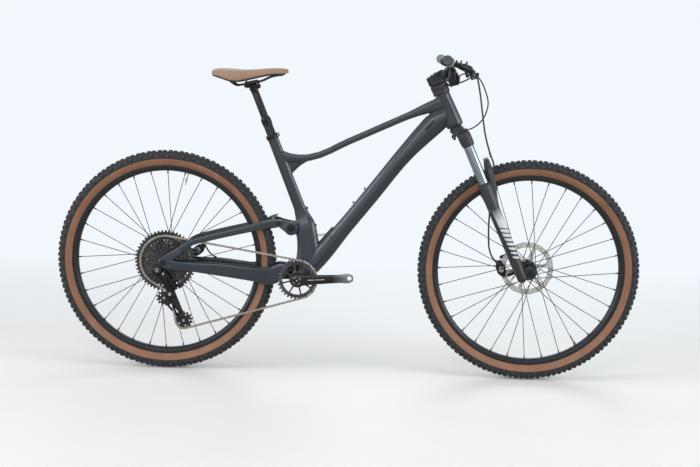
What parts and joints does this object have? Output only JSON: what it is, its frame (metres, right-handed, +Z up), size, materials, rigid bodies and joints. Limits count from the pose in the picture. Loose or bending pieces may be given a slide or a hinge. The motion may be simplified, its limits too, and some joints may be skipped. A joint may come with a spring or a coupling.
{
  "type": "full-suspension mountain bike",
  "caption": "Full-suspension trail bike with tan-wall tyres, a hidden shock, a dropper post, a telescopic fork, disc brakes and a single-ring drivetrain.",
  "frame": {"origin": "on the ground, midway between the wheels, in the plane of the frame", "axes": "+X towards the front wheel, +Z up, -Y towards the drive side"},
  "size_m": [1.951, 0.7632, 1.079],
  "materials": {
    "frame_paint": "satin blue-graphite paint over carbon",
    "fork_paint": "matte dark grey fading to a pale band",
    "stanchion": "polished silver-blue anodising",
    "tyre": "black knobbly tread with caramel sidewalls",
    "rim": "satin black",
    "hub": "satin black hub and black spokes",
    "rotor_steel": "brushed steel braking track",
    "black_metal": "black anodised metal",
    "bearing_steel": "ground steel",
    "cassette": "black oxide steel with bright tooth edges",
    "chain": "pale champagne-silver plates",
    "chainring": "black anodised",
    "crank": "satin black with a grey band at the tip",
    "derailleur": "satin black",
    "cockpit": "matte dark grey",
    "grip": "grey-beige ribbed rubber",
    "black_plastic": "matte black moulded plastic",
    "hose": "satin black jacket",
    "saddle_skin": "tan two-tone cover"
  },
  "bodies": {
    "frame": {"front_triangle": "frame_paint", "seat_clamp": "black_metal", "bottom_bracket": "black_metal", "headset_bearing_lower": "bearing_steel", "headset_bearing_upper": "bearing_steel", "pivot_axle": "black_metal", "seatpost_lower": "black_metal"},
    "steering": {"fork_crown": "fork_paint", "stanchion_drive": "stanchion", "stanchion_far": "stanchion", "headset_cover": "cockpit", "stem": "cockpit", "handlebar": "cockpit", "grip_drive": "grip", "grip_far": "grip", "brake_body_drive": "black_metal", "brake_body_far": "black_metal", "shifter_body": "black_plastic", "remote_body": "black_plastic", "lockout_cable": "hose", "rear_hose_cockpit": "hose", "front_hose_upper": "hose"},
    "fork_slider": {"fork_lowers": "fork_paint", "front_axle": "black_metal", "front_caliper": "black_metal", "front_hose_lower": "hose"},
    "front_wheel": {"front_hub": "hub", "front_rim": "rim", "front_tyre": "tyre", "front_rotor": "rotor_steel"},
    "brake_lever_drive": {"brake_blade_drive": "black_metal"},
    "brake_lever_far": {"brake_blade_far": "black_metal"},
    "shift_paddle": {"shift_lever": "black_plastic"},
    "dropper_paddle": {"dropper_lever": "black_metal"},
    "lockout_paddle": {"lockout_lever": "black_metal"},
    "rear_arm": {"swingarm": "frame_paint", "rear_axle": "black_metal", "rear_caliper": "black_metal", "rear_brake_hose": "hose", "derailleur_body": "derailleur", "chain": "chain"},
    "stays": {"seatstays": "frame_paint", "rocker_cover": "black_plastic"},
    "rocker": {"rocker_link": "frame_paint"},
    "shock_can": {"shock_body": "black_metal"},
    "shock_rod": {"shock_shaft": "bearing_steel"},
    "rear_wheel": {"rear_hub": "hub", "rear_rim": "rim", "rear_tyre": "tyre", "rear_rotor": "rotor_steel"},
    "sprockets": {"cassette": "cassette"},
    "crank": {"crank_arm_drive": "crank", "crank_arm_far": "crank", "chainring": "chainring"},
    "cage": {"derailleur_cage": "derailleur"},
    "guide_wheel": {"guide_pulley": "black_plastic"},
    "tension_wheel": {"tension_pulley": "black_plastic"},
    "saddle_post": {"seatpost_upper": "black_metal", "saddle_rails": "black_metal", "saddle": "saddle_skin"}
  },
  "joints": [
    {"name": "steer", "type": "hinge", "parent": "frame", "child": "steering", "pos_m": [0.32326, 0, 0.90023], "axis": [-0.4067, 0, 0.9135], "range_deg": [-70, 70]},
    {"name": "fork_stroke", "type": "slide", "parent": "steering", "child": "fork_slider", "axis": [-0.4067, 0, 0.9135], "range_m": [0, 0.13], "deforming": ["front_hose_upper"]},
    {"name": "front_wheel_spin", "type": "hinge", "parent": "fork_slider", "child": "front_wheel", "pos_m": [0.6075, 0, 0.37], "axis": [0, 1, 0], "continuous": true},
    {"name": "brake_pull_drive", "type": "hinge", "parent": "steering", "child": "brake_lever_drive", "pos_m": [0.39, -0.182, 1.01095], "axis": [-0.3983, 0, -0.9173], "range_deg": [0, 20], "stiffness_Nm_per_rad": 1, "springref_deg": -11.46},
    {"name": "brake_pull_far", "type": "hinge", "parent": "steering", "child": "brake_lever_far", "pos_m": [0.39, 0.182, 1.01095], "axis": [0.3983, 0, 0.9173], "range_deg": [0, 20], "stiffness_Nm_per_rad": 1, "springref_deg": -11.46},
    {"name": "shift_push", "type": "hinge", "parent": "steering", "child": "shift_paddle", "pos_m": [0.31488, -0.196, 0.99282], "axis": [0.4067, 0, -0.9135], "range_deg": [0, 25], "stiffness_Nm_per_rad": 0.2, "springref_deg": -11.46},
    {"name": "dropper_push", "type": "hinge", "parent": "steering", "child": "dropper_paddle", "pos_m": [0.31568, 0.199, 1.0107], "axis": [-0.4067, 0, 0.9135], "range_deg": [0, 25], "stiffness_Nm_per_rad": 0.2, "springref_deg": -11.46},
    {"name": "lockout_push", "type": "hinge", "parent": "steering", "child": "lockout_paddle", "pos_m": [0.32655, 0.1955, 0.99364], "axis": [-0.4067, 0, 0.9135], "range_deg": [0, 25], "stiffness_Nm_per_rad": 0.2, "springref_deg": -11.46},
    {"name": "rear_travel", "type": "hinge", "parent": "frame", "child": "rear_arm", "pos_m": [-0.186, 0, 0.364], "axis": [0, 1, 0], "range_deg": [0, 16.5], "deforming": ["chain"]},
    {"name": "stay_flex", "type": "hinge", "parent": "rear_arm", "child": "stays", "pos_m": [-0.548, 0, 0.416], "axis": [0, 1, 0], "range_deg": [-4.5, 0.2]},
    {"name": "rocker_turn", "type": "hinge", "parent": "frame", "child": "rocker", "pos_m": [-0.188, 0, 0.49], "axis": [0, 1, 0], "range_deg": [-1, 68]},
    {"name": "shock_tilt", "type": "hinge", "parent": "frame", "child": "shock_can", "pos_m": [-0.132, 0, 0.352], "axis": [0, 1, 0], "range_deg": [-2, 0.2]},
    {"name": "shock_stroke", "type": "slide", "parent": "shock_can", "child": "shock_rod", "axis": [0.1053, 0, -0.9944], "range_m": [-0.001, 0.05]},
    {"name": "rear_wheel_spin", "type": "hinge", "parent": "rear_arm", "child": "rear_wheel", "pos_m": [-0.6075, 0, 0.37], "axis": [0, 1, 0], "continuous": true},
    {"name": "cassette_spin", "type": "hinge", "parent": "rear_arm", "child": "sprockets", "pos_m": [-0.6075, 0, 0.37], "axis": [0, 1, 0], "continuous": true},
    {"name": "crank_spin", "type": "hinge", "parent": "frame", "child": "crank", "pos_m": [-0.162, 0, 0.323], "axis": [0, 1, 0], "continuous": true},
    {"name": "cage_swing", "type": "hinge", "parent": "rear_arm", "child": "cage", "pos_m": [-0.588, 0, 0.262], "axis": [0, 1, 0], "range_deg": [-6, 0.2]},
    {"name": "guide_spin", "type": "hinge", "parent": "cage", "child": "guide_wheel", "pos_m": [-0.611, 0, 0.244], "axis": [0, 1, 0], "continuous": true},
    {"name": "tension_spin", "type": "hinge", "parent": "cage", "child": "tension_wheel", "pos_m": [-0.544, 0, 0.17], "axis": [0, 1, 0], "continuous": true},
    {"name": "dropper_stroke", "type": "slide", "parent": "frame", "child": "saddle_post", "axis": [0.3778, 0, -0.9259], "range_m": [0, 0.084], "stiffness_N_per_m": 100, "springref_m": -0.25}
  ],
  "couplings": [
    {"joint": "stay_flex", "follows": "rear_travel", "ratio": -0.25},
    {"joint": "rocker_turn", "follows": "rear_travel", "ratio": 4.1},
    {"joint": "shock_tilt", "follows": "rear_travel", "ratio": -0.1},
    {"joint": "shock_stroke", "follows": "rear_travel", "m_per_rad": 0.1667},
    {"joint": "cage_swing", "follows": "rear_travel", "ratio": -0.35},
    {"joint": "cassette_spin", "follows": "crank_spin", "ratio": 0.7619}
  ]
}
